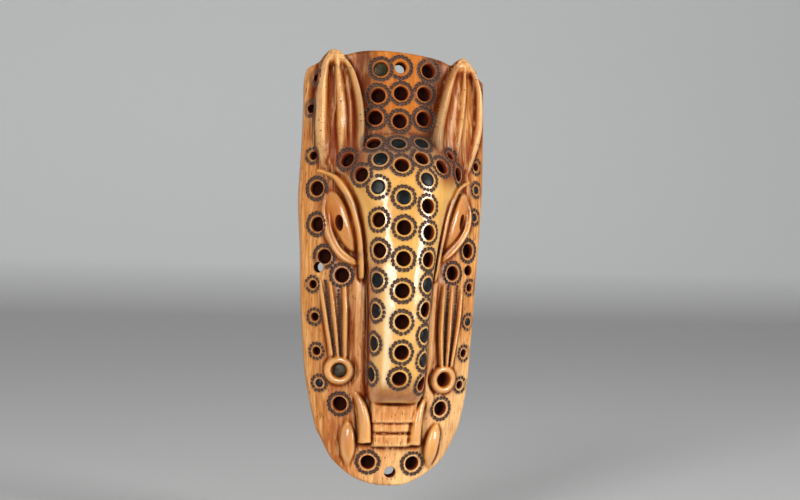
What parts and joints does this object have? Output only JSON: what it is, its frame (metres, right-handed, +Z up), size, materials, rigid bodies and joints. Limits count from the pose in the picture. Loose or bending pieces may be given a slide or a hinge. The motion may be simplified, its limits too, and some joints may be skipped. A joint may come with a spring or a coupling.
{
  "type": "carved leopard mask",
  "caption": "Bowed carved plate with a leopard's head in high relief, drilled spots all over, round dark inlays left in some spots, and cord holes at its ends and sides.",
  "frame": {"origin": "middle of the wall of the top cord hole", "axes": "+Z up towards the ears, the face looks along -Y, +X to the viewer's right"},
  "size_m": [0.0885, 0.0489, 0.2009],
  "materials": {
    "tusk": "gloss",
    "inlay": "satin"
  },
  "bodies": {
    "root": {"carved_head": "tusk", "inlay_crest_left": "inlay", "inlay_crown_middle": "inlay", "inlay_crown_right": "inlay", "inlay_forehead_lower_left": "inlay", "inlay_forehead_lower_middle": "inlay", "inlay_forehead_lower_right": "inlay", "inlay_forehead_upper_left": "inlay", "inlay_margin_left_11": "inlay", "inlay_margin_right_4": "inlay", "inlay_margin_right_5": "inlay", "inlay_margin_right_9": "inlay", "inlay_snout_left_3": "inlay", "inlay_snout_left_4": "inlay", "inlay_snout_left_5": "inlay", "inlay_snout_left_6": "inlay", "inlay_snout_right_3": "inlay", "inlay_snout_right_5": "inlay", "inlay_snout_right_6": "inlay", "inlay_whisker_left": "inlay"}
  },
  "joints": []
}
